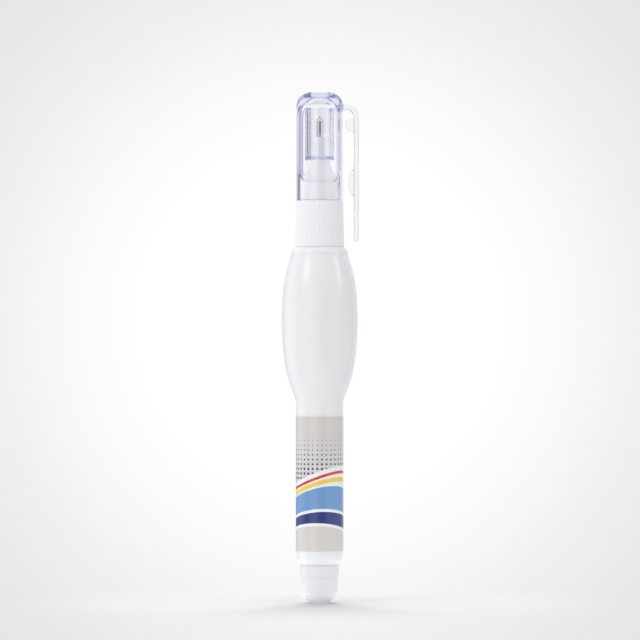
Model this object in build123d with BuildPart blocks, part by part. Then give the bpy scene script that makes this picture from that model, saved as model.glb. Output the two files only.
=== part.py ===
from build123d import *
from math import cos, pi, sin, sqrt
import os

# Squeeze-bulb correction pen standing on its tail end, in millimetres.
# The pen's axis is +Z with the cap end up, the clip points to +X and the front is -Y.

# Lengths along the axis, from the tail end up
tail_head_length = 10.5
barrel_length = 87.1
collar_length = 12.6

# Clearances
press_gap = 0.02
cap_slide_gap = 0.06
cap_rim_gap = 0.05
ball_seat_gap = 0.1

# Mixing ball and the steps that stop it at both ends of the barrel
ball_side_gap = 1.95
ball_tail_step = 0.6
ball_nozzle_step = 0.3

# Barrel: straight lower tube, bulb, shoulder and neck
barrel_radius = 6.45
barrel_wall = 1.0
barrel_end_step = 0.18
barrel_end_length = 3.2
barrel_foot_land = 0.3
barrel_foot_chamfer = 1.0
barrel_foot_wall = 0.95
socket_wall = 1.95
socket_spare = 0.6
bulb_radius = 10.45
bulb_middle_arc = 90.0
bulb_rise = 7.0
bulb_fall = 10.0
bulb_top_reach = 20.1
bulb_bottom_reach = 21.7
bulb_blend = 8.0
shoulder_ledge = 1.08
shoulder_land = 0.6
shoulder_round = 1.6
shoulder_wall = 1.2
neck_wall = 1.0
neck_length = 7.0
snap_bead_level = 3.2
snap_bead_height = 0.25
snap_bead_width = 1.2

# Tail plug
tail_shoulder = 0.88
tail_step = 0.26
tail_band_length = 3.2
tail_dome_excess = 0.98
tail_corner_round = 1.2
tail_flat_radius = 2.0
tail_floor = 2.2
tail_spigot_length = 6.8
seal_rib_height = 0.15
seal_rib_width = 0.8
seal_rib_places = (0.3, 0.75)

# Label film round the lower tube, with its seam at the back
label_thickness = 0.08
label_start = 3.5
label_top_margin = 2.9
label_seam = 0.6

# Ribbed collar with the spigot that the cap slides on
collar_wall = 1.23
collar_taper = 0.25
collar_edge_round = 0.5
rib_count = 54
rib_depth = 0.2
rib_groove_width = 0.42
rib_start = 0.9
spigot_length = 5.2
spigot_wall = 1.12
spigot_chamfer = 0.35

# Nozzle, its gasket and the ring behind the spring
gasket_thickness = 0.8
flange_thickness = 1.2
nozzle_plug_length = 6.2
nozzle_plug_wall = 0.98
nozzle_body_rise = 1.6
nozzle_flare_height = 4.5
nozzle_neck_length = 6.2
nozzle_neck_wall = 0.43
nozzle_neck_taper = 0.25
retainer_level = 1.6
retainer_thickness = 1.8
retainer_hole_radius = 0.8
chamber_step = 0.6
chamber_cover = 0.4
chamber_cone = 1.2

# Metal tip and the needle valve in it
mouth_radius = 0.3
mouth_length = 0.8
seat_cone_length = 0.35
tip_face_width = 0.15
tip_bore_radius = 0.5
tip_wall = 0.3
tip_shoulder = 0.23
tip_exposed = 5.25
tip_nose_length = 0.95
tip_shank_length = 5.0
needle_flow_gap = 0.12
needle_point_gap = 0.05
needle_seat_gap = 0.06
needle_travel = 0.4
needle_grip = 3.6
holder_wall = 0.55
holder_flange = 0.8
holder_headroom = 0.9
holder_side_gap = 0.25
holder_nose_gap = 0.22
holder_nose_length = 3.1
holder_stem_gap = 1.8
spring_wire_radius = 0.16
spring_side_gap = 0.42
spring_stem_gap = 0.31
spring_end_gap = 0.03
spring_turns = 6

# Clear cap and the sleeve inside it
cap_overhang = 0.03
cap_wall = 1.18
cap_bore_draft = 0.1
cap_draft = 0.08
cap_corner_radius = 3.75
panel_inset = 0.7
panel_depth = 0.2
panel_rise = 9.25
panel_drop = 7.4
cap_bore_spare = 1.6
cap_headroom = 0.95
cap_end_wall = 2.1
cap_inner_corner = 2.4
cap_rim_chamfer = 0.2
sleeve_wall = 1.1
sleeve_side_gap = 1.2
sleeve_length = 14.1
sleeve_grip = 1.2
sleeve_rim_land = 0.1

# Pocket clip, which springs about its root
clip_top_drop = 3.6
clip_length = 37.3
clip_gap = 2.92
clip_thickness = 1.25
clip_width = 5.0
clip_arch_radius = 2.1
clip_stub_length = 0.19
clip_stub_lip = 0.28
clip_stub_back = 0.1
clip_root_gap = 0.06
clip_rib_width = 1.0
clip_web_radius = 2.4
clip_web_drop = 5.0
clip_bump_rise = 1.55
clip_bump_half_height = 4.0
clip_bump_drop = 21.2
clip_foot_radius = 0.7

# Radii of the tip and its valve, from the mouth outwards to the ring behind the spring
tip_face_radius = mouth_radius + tip_face_width
tip_shank_radius = tip_bore_radius + tip_wall
tip_radius = tip_shank_radius + tip_shoulder
tip_socket_radius = tip_shank_radius + press_gap
nozzle_neck_tip_radius = tip_socket_radius + nozzle_neck_wall
nozzle_neck_base_radius = nozzle_neck_tip_radius + nozzle_neck_taper
needle_radius = tip_bore_radius - needle_flow_gap
needle_point_radius = mouth_radius - needle_point_gap
stem_radius = needle_radius + press_gap + holder_wall
spring_radius = stem_radius + spring_stem_gap + spring_wire_radius
chamber_radius = spring_radius + spring_wire_radius + spring_side_gap
retainer_radius = chamber_radius + chamber_step

# Radii of the barrel's bore, the ball in it and the parts that stop the ball
tube_bore_radius = barrel_radius - barrel_wall
ball_radius = tube_bore_radius - ball_side_gap
tail_bore_radius = ball_radius - ball_tail_step
nozzle_rear_bore_radius = ball_radius - ball_nozzle_step
nozzle_plug_radius = nozzle_rear_bore_radius + nozzle_plug_wall
neck_bore_radius = nozzle_plug_radius + press_gap
neck_radius = neck_bore_radius + neck_wall

# Radii of the tail end, from the tube inwards
barrel_end_radius = barrel_radius - barrel_end_step
tail_socket_radius = barrel_radius - socket_wall
barrel_foot_radius = tail_socket_radius + barrel_foot_wall
tail_spigot_radius = tail_socket_radius - press_gap
tail_head_radius = tail_socket_radius + tail_shoulder
tail_lower_radius = tail_head_radius - tail_step
tail_dome_radius = tail_lower_radius + tail_dome_excess

# Radii of the cap end, from the barrel's neck outwards to the clip
collar_bore_radius = neck_radius + press_gap
collar_top_radius = collar_bore_radius + collar_wall
collar_foot_radius = collar_top_radius + collar_taper
shoulder_radius = collar_foot_radius + shoulder_ledge
cap_radius = collar_top_radius + cap_overhang
cap_crown_radius = cap_radius - cap_draft
cap_bore_radius = cap_radius - cap_wall
panel_half_width = cap_radius - panel_inset
clip_reach = cap_radius + clip_gap

# Radii inside the cap
spigot_radius = cap_bore_radius - cap_slide_gap
collar_throat_radius = spigot_radius - spigot_wall
nozzle_body_radius = collar_throat_radius - press_gap
cap_upper_bore_radius = cap_bore_radius - cap_bore_draft
sleeve_radius = cap_upper_bore_radius - sleeve_side_gap
sleeve_bore_radius = sleeve_radius - sleeve_wall
boss_radius = sleeve_bore_radius - press_gap

# Levels along the axis
seam_z = tail_head_length
spigot_end_z = seam_z + tail_spigot_length
socket_top_z = spigot_end_z + socket_spare
shoulder_z = seam_z + barrel_length
bulb_z = shoulder_z - bulb_top_reach
neck_top_z = shoulder_z + neck_length
flange_bottom_z = neck_top_z + gasket_thickness
flange_top_z = flange_bottom_z + flange_thickness
plug_end_z = flange_bottom_z - nozzle_plug_length
retainer_bottom_z = flange_bottom_z + retainer_level
chamber_bottom_z = retainer_bottom_z + retainer_thickness
collar_top_z = shoulder_z + collar_length
spigot_top_z = collar_top_z + spigot_length
body_top_z = spigot_top_z + nozzle_body_rise
chamber_top_z = body_top_z - chamber_cover
flare_top_z = body_top_z + nozzle_flare_height
nozzle_top_z = flare_top_z + nozzle_neck_length
tip_top_z = nozzle_top_z + tip_exposed
point_z = tip_top_z + needle_travel
boss_z = point_z + cap_headroom
sleeve_top_z = boss_z + sleeve_grip
cap_inner_top_z = sleeve_top_z + cap_inner_corner
cap_top_z = cap_inner_top_z + cap_end_wall
rim_z = collar_top_z + cap_rim_gap

os.makedirs("parts", exist_ok=True)


def on_arc(centre, radius, point):
    """The point where a circle meets the ray from its centre towards another point."""
    reach = sqrt((point[0] - centre[0]) ** 2 + (point[1] - centre[1]) ** 2)
    scale = radius / reach
    return (centre[0] + (point[0] - centre[0]) * scale, centre[1] + (point[1] - centre[1]) * scale)


def halfway(centre, radius, start, end):
    """The middle point of the shorter arc between two points of a circle."""
    return on_arc(centre, radius, ((start[0] + end[0]) / 2, (start[1] + end[1]) / 2))


def arc_through(centre, joint, end):
    """The radius of an arc that leaves another arc smoothly at a joint and runs through an end point."""
    out = on_arc((0, 0), 1, (joint[0] - centre[0], joint[1] - centre[1]))
    chord = (end[0] - joint[0], end[1] - joint[1])
    return -(chord[0] ** 2 + chord[1] ** 2) / (2 * (chord[0] * out[0] + chord[1] * out[1]))


# Tail plug: domed head, spigot with two sealing ribs, hollow and open upwards
dome_centre = (0, sqrt(tail_dome_radius**2 - tail_flat_radius**2))
dome_start = (tail_flat_radius, 0)
dome_end = (tail_lower_radius, dome_centre[1] - sqrt(tail_dome_radius**2 - tail_lower_radius**2))
relief_radius = tail_spigot_radius - seal_rib_height
with BuildPart() as tail_plug:
    with BuildSketch(Plane.XZ) as plug_section:
        with BuildLine():
            Line((0, 0), dome_start)
            ThreePointArc(dome_start, halfway(dome_centre, tail_dome_radius, dome_start, dome_end), dome_end)
            Polyline(
                dome_end,
                (tail_lower_radius, seam_z - tail_band_length),
                (tail_head_radius, seam_z - tail_band_length),
                (tail_head_radius, seam_z),
                (relief_radius, seam_z),
                (relief_radius, spigot_end_z),
                (tail_bore_radius, spigot_end_z),
                (tail_bore_radius, tail_floor),
                (0, tail_floor),
                (0, 0),
            )
        make_face()
        fillet(plug_section.vertices().sort_by_distance(dome_end)[0], radius=tail_corner_round)
    revolve(axis=Axis.Z)
    for share in seal_rib_places:
        with BuildSketch(Plane.XY.offset(seam_z + share * tail_spigot_length - seal_rib_width / 2)):
            Circle(tail_spigot_radius)
            Circle((tail_bore_radius + relief_radius) / 2, mode=Mode.SUBTRACT)
        extrude(amount=seal_rib_width)
tail_plug.part.label = "tail_plug"
export_step(tail_plug.part, "parts/tail_plug.step")

# Barrel: its bulb is three tangent arcs, run into the tube by a hollow blend and into a rounded shoulder at the top
middle_centre = (bulb_radius - bulb_middle_arc, bulb_z)
upper_joint = (middle_centre[0] + sqrt(bulb_middle_arc**2 - bulb_rise**2), bulb_z + bulb_rise)
lower_joint = (middle_centre[0] + sqrt(bulb_middle_arc**2 - bulb_fall**2), bulb_z - bulb_fall)
shoulder_side = (shoulder_radius, shoulder_z - shoulder_round)
shoulder_edge = (shoulder_radius, shoulder_side[1] - shoulder_land)
bulb_upper_arc = arc_through(middle_centre, upper_joint, shoulder_edge)
bulb_lower_arc = arc_through(middle_centre, lower_joint, (barrel_radius, bulb_z - bulb_bottom_reach))
upper_centre = on_arc(middle_centre, bulb_middle_arc - bulb_upper_arc, upper_joint)
lower_centre = on_arc(middle_centre, bulb_middle_arc - bulb_lower_arc, lower_joint)
blend_radius = barrel_radius + bulb_blend
blend_reach = bulb_lower_arc + bulb_blend
blend_drop = sqrt(blend_reach**2 - (blend_radius - lower_centre[0]) ** 2)
blend_centre = (blend_radius, lower_centre[1] - blend_drop)
round_centre = (shoulder_radius - shoulder_round, shoulder_side[1])


def bulb_wall(depth, top):
    """Draws the bulb's wall at a depth under the outer skin, from the lower tube up to a top point."""
    tube_end = (barrel_radius - depth, blend_centre[1])
    blend_end = on_arc(lower_centre, bulb_lower_arc - depth, blend_centre)
    lower_end = on_arc(middle_centre, bulb_middle_arc - depth, lower_joint)
    upper_start = on_arc(middle_centre, bulb_middle_arc - depth, upper_joint)
    belly = (bulb_radius - depth, bulb_z)
    ThreePointArc(tube_end, halfway(blend_centre, bulb_blend + depth, tube_end, blend_end), blend_end)
    lower_middle = halfway(lower_centre, bulb_lower_arc - depth, blend_end, lower_end)
    ThreePointArc(blend_end, lower_middle, lower_end)
    ThreePointArc(lower_end, belly, upper_start)
    ThreePointArc(upper_start, halfway(upper_centre, bulb_upper_arc - depth, upper_start, top), top)


shoulder_flat = (round_centre[0], shoulder_z)
inner_top_z = shoulder_z - shoulder_wall
inner_top_arc = bulb_upper_arc - barrel_wall
inner_top = (upper_centre[0] + sqrt(inner_top_arc**2 - (inner_top_z - upper_centre[1]) ** 2), inner_top_z)
bead_z = shoulder_z + snap_bead_level
with BuildPart() as barrel:
    with BuildSketch(Plane.XZ):
        with BuildLine():
            Polyline(
                (tube_bore_radius, blend_centre[1]),
                (tube_bore_radius, socket_top_z + tube_bore_radius - tail_socket_radius),
                (tail_socket_radius, socket_top_z),
                (tail_socket_radius, seam_z),
                (barrel_foot_radius, seam_z),
                (barrel_foot_radius, seam_z + barrel_foot_land),
                (barrel_end_radius, seam_z + barrel_foot_land + barrel_foot_chamfer),
                (barrel_end_radius, seam_z + barrel_end_length),
                (barrel_radius, seam_z + barrel_end_length),
                (barrel_radius, blend_centre[1]),
            )
            bulb_wall(0, shoulder_edge)
            Line(shoulder_edge, shoulder_side)
            round_middle = halfway(round_centre, shoulder_round, shoulder_side, shoulder_flat)
            ThreePointArc(shoulder_side, round_middle, shoulder_flat)
            Polyline(
                shoulder_flat,
                (neck_radius, shoulder_z),
                (neck_radius, bead_z - snap_bead_width / 2),
                (neck_radius + snap_bead_height, bead_z),
                (neck_radius, bead_z + snap_bead_width / 2),
                (neck_radius, neck_top_z),
                (neck_bore_radius, neck_top_z),
                (neck_bore_radius, inner_top_z),
                inner_top,
            )
            bulb_wall(barrel_wall, inner_top)
        make_face()
    revolve(axis=Axis.Z)
barrel.part.label = "barrel"
export_step(barrel.part, "parts/barrel.step")

# Label: thin film round the tube, open along a narrow seam at the back
label_inner_radius = barrel_radius + press_gap
label_outer_radius = label_inner_radius + label_thickness
label_bottom_z = seam_z + label_start
label_top_z = blend_centre[1] - label_top_margin
with BuildPart() as label:
    with BuildSketch(Plane.XY.offset(label_bottom_z)):
        Circle(label_outer_radius)
        Circle(label_inner_radius, mode=Mode.SUBTRACT)
        with Locations((0, barrel_radius)):
            Rectangle(label_seam, barrel_radius, mode=Mode.SUBTRACT)
    extrude(amount=label_top_z - label_bottom_z)
label.part.label = "label"
export_step(label.part, "parts/label.step")

# One rib groove: a triangular channel that leans with the collar's slight taper
rib_start_z = shoulder_z + rib_start
slope = collar_taper / (collar_length - collar_edge_round)
rib_start_radius = collar_top_radius + slope * (collar_top_z - rib_start_z)


def groove_section(radius):
    """Draws the groove's cross-section on the collar's skin at a radius."""
    Polygon(
        (radius - rib_depth, 0),
        (radius + rib_depth, -rib_groove_width),
        (radius + rib_depth, rib_groove_width),
        align=None,
    )


with BuildPart() as rib_groove:
    with BuildSketch(Plane.XY.offset(rib_start_z)):
        groove_section(rib_start_radius)
    with BuildSketch(Plane.XY.offset(collar_top_z)):
        groove_section(collar_top_radius)
    loft(ruled=True)

# Ribbed collar: skirt over the barrel's neck, web over the nozzle's flange, spigot for the cap
foot_corner = (collar_foot_radius - collar_edge_round, shoulder_z)
foot_side = (collar_foot_radius, shoulder_z + collar_edge_round)
foot_centre = (foot_corner[0], foot_side[1])
groove_height = snap_bead_width / 2 + press_gap
with BuildPart() as grip_collar:
    with BuildSketch(Plane.XZ):
        with BuildLine():
            foot_middle = halfway(foot_centre, collar_edge_round, foot_corner, foot_side)
            ThreePointArc(foot_corner, foot_middle, foot_side)
            Polyline(
                foot_side,
                (collar_top_radius, collar_top_z),
                (spigot_radius, collar_top_z),
                (spigot_radius, spigot_top_z - spigot_chamfer),
                (spigot_radius - spigot_chamfer, spigot_top_z),
                (collar_throat_radius, spigot_top_z),
                (collar_throat_radius, flange_top_z),
                (collar_bore_radius, flange_top_z),
                (collar_bore_radius, bead_z + groove_height),
                (collar_bore_radius + snap_bead_height, bead_z),
                (collar_bore_radius, bead_z - groove_height),
                (collar_bore_radius, shoulder_z),
                foot_corner,
            )
        make_face()
    revolve(axis=Axis.Z)
    with PolarLocations(0, rib_count):
        add(rib_groove.part, mode=Mode.SUBTRACT)
grip_collar.part.label = "grip_collar"
export_step(grip_collar.part, "parts/grip_collar.step")

# Neck gasket: flat ring between the barrel's neck and the nozzle's flange
with BuildPart() as neck_gasket:
    with BuildSketch(Plane.XY.offset(neck_top_z)):
        Circle(neck_radius)
        Circle(neck_bore_radius, mode=Mode.SUBTRACT)
    extrude(amount=gasket_thickness)
neck_gasket.part.label = "neck_gasket"
export_step(neck_gasket.part, "parts/neck_gasket.step")

# Nozzle: plug, flange, body, trumpet flare and slender neck, bored for the valve
flare_width = nozzle_body_radius - nozzle_neck_base_radius
flare_arc = (flare_width**2 + nozzle_flare_height**2) / (2 * flare_width)
flare_centre = (nozzle_neck_base_radius + flare_arc, flare_top_z)
flare_foot = (nozzle_body_radius, body_top_z)
flare_top = (nozzle_neck_base_radius, flare_top_z)
with BuildPart() as nozzle:
    with BuildSketch(Plane.XZ):
        with BuildLine():
            Polyline(
                flare_top,
                (nozzle_neck_tip_radius, nozzle_top_z),
                (tip_socket_radius, nozzle_top_z),
                (tip_socket_radius, chamber_top_z + chamber_cone),
                (chamber_radius, chamber_top_z),
                (chamber_radius, chamber_bottom_z),
                (retainer_radius, chamber_bottom_z),
                (retainer_radius, retainer_bottom_z),
                (nozzle_rear_bore_radius, retainer_bottom_z),
                (nozzle_rear_bore_radius, plug_end_z),
                (nozzle_plug_radius, plug_end_z),
                (nozzle_plug_radius, flange_bottom_z),
                (neck_radius, flange_bottom_z),
                (neck_radius, flange_top_z),
                (nozzle_body_radius, flange_top_z),
                flare_foot,
            )
            ThreePointArc(flare_foot, halfway(flare_centre, flare_arc, flare_foot, flare_top), flare_top)
        make_face()
    revolve(axis=Axis.Z)
nozzle.part.label = "nozzle"
export_step(nozzle.part, "parts/nozzle.step")

# Spring retainer: ring pressed in behind the spring, with the fluid's way through it
with BuildPart() as spring_retainer:
    with BuildSketch(Plane.XY.offset(retainer_bottom_z)):
        Circle(retainer_radius - press_gap)
        Circle(retainer_hole_radius, mode=Mode.SUBTRACT)
    extrude(amount=retainer_thickness)
spring_retainer.part.label = "spring_retainer"
export_step(spring_retainer.part, "parts/spring_retainer.step")

# Metal tip: shank in the nozzle's neck, bright nose, bore that narrows to the mouth
mouth_z = tip_top_z - mouth_length
seat_z = mouth_z - seat_cone_length
with BuildPart() as metal_tip:
    with BuildSketch(Plane.XZ):
        with BuildLine():
            Polyline(
                (tip_bore_radius, nozzle_top_z - tip_shank_length),
                (tip_shank_radius, nozzle_top_z - tip_shank_length),
                (tip_shank_radius, nozzle_top_z),
                (tip_radius, nozzle_top_z),
                (tip_radius, tip_top_z - tip_nose_length),
                (tip_face_radius, tip_top_z),
                (mouth_radius, tip_top_z),
                (mouth_radius, mouth_z),
                (tip_bore_radius, seat_z),
                close=True,
            )
        make_face()
    revolve(axis=Axis.Z)
metal_tip.part.label = "metal_tip"
export_step(metal_tip.part, "parts/metal_tip.step")

# Needle holder: stem in the spring, flange on it, nose that grips the needle
spring_length = chamber_top_z - chamber_bottom_z - holder_flange - holder_headroom
flange_z = chamber_bottom_z + spring_length
nose_top_z = flange_z + holder_flange + holder_nose_length
needle_end_z = nose_top_z - needle_grip
with BuildPart() as needle_holder:
    with BuildSketch(Plane.XZ):
        with BuildLine():
            Polyline(
                (0, chamber_bottom_z + holder_stem_gap),
                (stem_radius, chamber_bottom_z + holder_stem_gap),
                (stem_radius, flange_z),
                (chamber_radius - holder_side_gap, flange_z),
                (chamber_radius - holder_side_gap, flange_z + holder_flange),
                (tip_socket_radius - holder_nose_gap, flange_z + holder_flange),
                (tip_socket_radius - holder_nose_gap, nose_top_z),
                (needle_radius + press_gap, nose_top_z),
                (needle_radius + press_gap, needle_end_z),
                (0, needle_end_z),
                close=True,
            )
        make_face()
    revolve(axis=Axis.Z)
needle_holder.part.label = "needle_holder"
export_step(needle_holder.part, "parts/needle_holder.step")

# Valve needle: its cone closes the tip's seat and its round point stands out by the travel
cone_slope = seat_cone_length / (tip_bore_radius - mouth_radius)
cone_start_z = seat_z + (tip_bore_radius - needle_radius) * cone_slope - needle_seat_gap
cone_end_z = cone_start_z + (needle_radius - needle_point_radius) * cone_slope
point_centre = (0, point_z - needle_point_radius)
point_side = (needle_point_radius, point_centre[1])
with BuildPart() as valve_needle:
    with BuildSketch(Plane.XZ):
        with BuildLine():
            Polyline(
                (0, point_z),
                (0, needle_end_z),
                (needle_radius, needle_end_z),
                (needle_radius, cone_start_z),
                (needle_point_radius, cone_end_z),
                point_side,
            )
            point_middle = halfway(point_centre, needle_point_radius, point_side, (0, point_z))
            ThreePointArc(point_side, point_middle, (0, point_z))
        make_face()
    revolve(axis=Axis.Z)
valve_needle.part.label = "valve_needle"
export_step(valve_needle.part, "parts/valve_needle.step")

# Valve spring: round wire wound on biarcs, two to each quarter turn
coil_bottom_z = chamber_bottom_z + spring_wire_radius + spring_end_gap
coil_rise = spring_length - 2 * (spring_wire_radius + spring_end_gap)
quarter_turn = pi / 2


def coil_point(angle):
    """A point of the wire's centre line at an angle of winding."""
    height = coil_bottom_z + coil_rise * angle / (2 * pi * spring_turns)
    return Vector(spring_radius * cos(angle), spring_radius * sin(angle), height)


def coil_heading(angle):
    """The wire's direction at an angle of winding."""
    climb = coil_rise / (2 * pi * spring_turns)
    return Vector(-spring_radius * sin(angle), spring_radius * cos(angle), climb).normalized()


def biarc(start, start_heading, end, end_heading):
    """Draws two tangent arcs of equal reach that leave and arrive on the given headings."""
    chord = end - start
    along = chord.dot(start_heading + end_heading)
    spread = 2 * (1 - start_heading.dot(end_heading))
    reach = (sqrt(along**2 + spread * chord.dot(chord)) - along) / spread
    joint = (start + end + (start_heading - end_heading) * reach) / 2
    first = TangentArc(start, joint, tangent=start_heading)
    TangentArc(joint, end, tangent=first % 1)


with BuildPart() as valve_spring:
    with BuildLine() as coil:
        for quarter in range(4 * spring_turns):
            begin = quarter * quarter_turn
            finish = begin + quarter_turn
            biarc(coil_point(begin), coil_heading(begin), coil_point(finish), coil_heading(finish))
    with BuildSketch(Plane(coil_point(0), z_dir=coil_heading(0))):
        Circle(spring_wire_radius)
    sweep()
valve_spring.part.label = "valve_spring"
export_step(valve_spring.part, "parts/valve_spring.step")

# The wire's least gap to itself, between points of its centre line half a turn or more apart
turn_steps = 12
steps = [coil_point(2 * pi * step / turn_steps) for step in range(turn_steps * spring_turns + 1)]
apart = [
    (steps[first] - steps[second]).length
    for first in range(len(steps))
    for second in range(first + turn_steps // 2, len(steps))
]
print("valve spring, least gap between turns:", round(min(apart) - 2 * spring_wire_radius, 3), "mm")

# Mixing ball, resting on the rim of the tail plug's hollow
ball_z = spigot_end_z + sqrt(ball_radius**2 - tail_bore_radius**2) + ball_seat_gap
ball_stop_z = plug_end_z - sqrt(ball_radius**2 - nozzle_rear_bore_radius**2) - ball_seat_gap
with BuildPart() as mixing_ball:
    with Locations((0, 0, ball_z)):
        Sphere(ball_radius)
mixing_ball.part.label = "mixing_ball"
export_step(mixing_ball.part, "parts/mixing_ball.step")
print("mixing ball, free travel:", round(ball_stop_z - ball_z, 2), "mm")

# Clip root: a round knuckle in a socket in a short stub on the cap
clip_top_z = cap_top_z - clip_top_drop
hinge_x = cap_radius + clip_stub_length
hinge_z = clip_top_z - clip_thickness / 2
root_radius = clip_thickness / 2
print("clip root:", round(hinge_x, 3), round(hinge_z, 3))

# Cap: round body with a thick domed end, and a long round-ended panel sunk in its front and its back
crown_centre = (cap_crown_radius - cap_corner_radius, cap_top_z - cap_corner_radius)
inner_centre = (cap_upper_bore_radius - cap_inner_corner, sleeve_top_z)
inner_side = (cap_upper_bore_radius, sleeve_top_z)
inner_flat = (inner_centre[0], cap_inner_top_z)
bore_top_z = spigot_top_z + cap_bore_spare
panel_bottom_z = rim_z + panel_rise
panel_top_z = cap_top_z - panel_drop
stub_end_x = hinge_x - clip_stub_back
socket_radius = root_radius + clip_root_gap


def cap_outline(depth):
    """The half section of the cap's body, sunk by a depth on its side, round corner and end."""
    corner = cap_corner_radius - depth
    side = (crown_centre[0] + corner, crown_centre[1])
    flat = (crown_centre[0], crown_centre[1] + corner)
    Polyline((0, flat[1]), (0, rim_z), (cap_radius - depth, rim_z), side)
    ThreePointArc(side, halfway(crown_centre, corner, side, flat), flat)
    Line(flat, (0, flat[1]))


with BuildPart() as cap:
    with BuildSketch(Plane.XZ):
        with BuildLine():
            cap_outline(0)
        make_face()
    revolve(axis=Axis.Z)
    with BuildSketch(Plane.XZ):
        with Locations((0, (panel_bottom_z + panel_top_z) / 2)):
            SlotCenterToCenter(panel_top_z - panel_bottom_z, 2 * panel_half_width, rotation=90)
    extrude(amount=cap_radius, both=True, mode=Mode.SUBTRACT)
    with BuildSketch(Plane.XZ):
        with BuildLine():
            cap_outline(panel_depth)
        make_face()
    revolve(axis=Axis.Z)
    with BuildSketch(Plane.XZ):
        with Locations(((cap_upper_bore_radius + stub_end_x) / 2, hinge_z)):
            Rectangle(stub_end_x - cap_upper_bore_radius, 2 * (socket_radius + clip_stub_lip))
    extrude(amount=clip_width / 2, both=True)
    with BuildSketch(Plane.XZ):
        with Locations((hinge_x, hinge_z)):
            Circle(socket_radius)
    extrude(amount=clip_width / 2 + clip_root_gap, both=True, mode=Mode.SUBTRACT)
    with BuildSketch(Plane.XZ):
        with BuildLine():
            Polyline(
                inner_flat,
                (0, cap_inner_top_z),
                (0, rim_z),
                (cap_bore_radius + cap_rim_chamfer, rim_z),
                (cap_bore_radius, rim_z + cap_rim_chamfer),
                (cap_bore_radius, bore_top_z),
                inner_side,
            )
            dome_middle = halfway(inner_centre, cap_inner_corner, inner_side, inner_flat)
            ThreePointArc(inner_side, dome_middle, inner_flat)
        make_face()
    revolve(axis=Axis.Z, mode=Mode.SUBTRACT)
    with BuildSketch(Plane.XY.offset(boss_z)):
        Circle(boss_radius)
    extrude(amount=cap_inner_top_z - boss_z)
cap.part.label = "cap"
export_step(cap.part, "parts/cap.step")

# Seal sleeve: tube pressed on the cap's inner boss, flared inside at its lower rim
sleeve_rim_z = sleeve_top_z - sleeve_length
with BuildPart() as seal_sleeve:
    with BuildSketch(Plane.XZ):
        with BuildLine():
            Polyline(
                (sleeve_bore_radius, sleeve_top_z),
                (sleeve_radius, sleeve_top_z),
                (sleeve_radius, sleeve_rim_z),
                (sleeve_radius - sleeve_rim_land, sleeve_rim_z),
                (sleeve_bore_radius, sleeve_rim_z + sleeve_wall - sleeve_rim_land),
                close=True,
            )
        make_face()
    revolve(axis=Axis.Z)
seal_sleeve.part.label = "seal_sleeve"
export_step(seal_sleeve.part, "parts/seal_sleeve.step")

# Pocket clip: arch from the root, straight strip, thin web and bump inside, thick foot
strip_middle_x = clip_reach + clip_thickness / 2
strip_outer_x = clip_reach + clip_thickness
arch_centre = (clip_reach - clip_arch_radius, clip_top_z - clip_thickness - clip_arch_radius)
arch_start = (arch_centre[0], clip_top_z)
arch_end = (strip_outer_x, arch_centre[1])
inner_arch_start = (arch_centre[0], clip_top_z - clip_thickness)
inner_arch_end = (clip_reach, arch_centre[1])
arch_outer = clip_arch_radius + clip_thickness
foot_z = clip_top_z - clip_length
root_back = (hinge_x - root_radius, hinge_z)
bump_arc = (clip_bump_half_height**2 + clip_bump_rise**2) / (2 * clip_bump_rise)
bump_centre = (clip_reach - clip_bump_rise + bump_arc, clip_top_z - clip_bump_drop)
with BuildPart() as clip:
    with BuildSketch(Plane.XZ):
        with BuildLine():
            Line((hinge_x, clip_top_z), arch_start)
            ThreePointArc(arch_start, halfway(arch_centre, arch_outer, arch_start, arch_end), arch_end)
            Polyline(
                arch_end,
                (strip_outer_x, foot_z + clip_foot_radius),
                (clip_reach, foot_z + clip_foot_radius),
                inner_arch_end,
            )
            inner_middle = halfway(arch_centre, clip_arch_radius, inner_arch_start, inner_arch_end)
            ThreePointArc(inner_arch_end, inner_middle, inner_arch_start)
            Line(inner_arch_start, (hinge_x, clip_top_z - clip_thickness))
            ThreePointArc((hinge_x, clip_top_z - clip_thickness), root_back, (hinge_x, clip_top_z))
        make_face()
        with Locations((strip_middle_x, foot_z + clip_foot_radius)):
            Circle(clip_foot_radius)
    extrude(amount=clip_width / 2, both=True)
    with BuildSketch(Plane.XZ):
        with Locations((clip_reach, clip_top_z - clip_web_drop)):
            Circle(clip_web_radius)
        with Locations(bump_centre):
            Circle(bump_arc)
        with Locations((strip_middle_x + bump_arc, clip_top_z - clip_length / 2)):
            Rectangle(2 * bump_arc, clip_length, mode=Mode.SUBTRACT)
    extrude(amount=clip_rib_width / 2, both=True)
clip.part.label = "clip"
export_step(clip.part, "parts/clip.step")
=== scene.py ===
"""A squeeze-bulb correction pen standing on its tail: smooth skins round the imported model, finishes, stage and light.

Lengths are written in millimetres and put into the meshes in metres. The pen's axis is +Z, the clip points to +X
and the front is -Y.
"""

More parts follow.
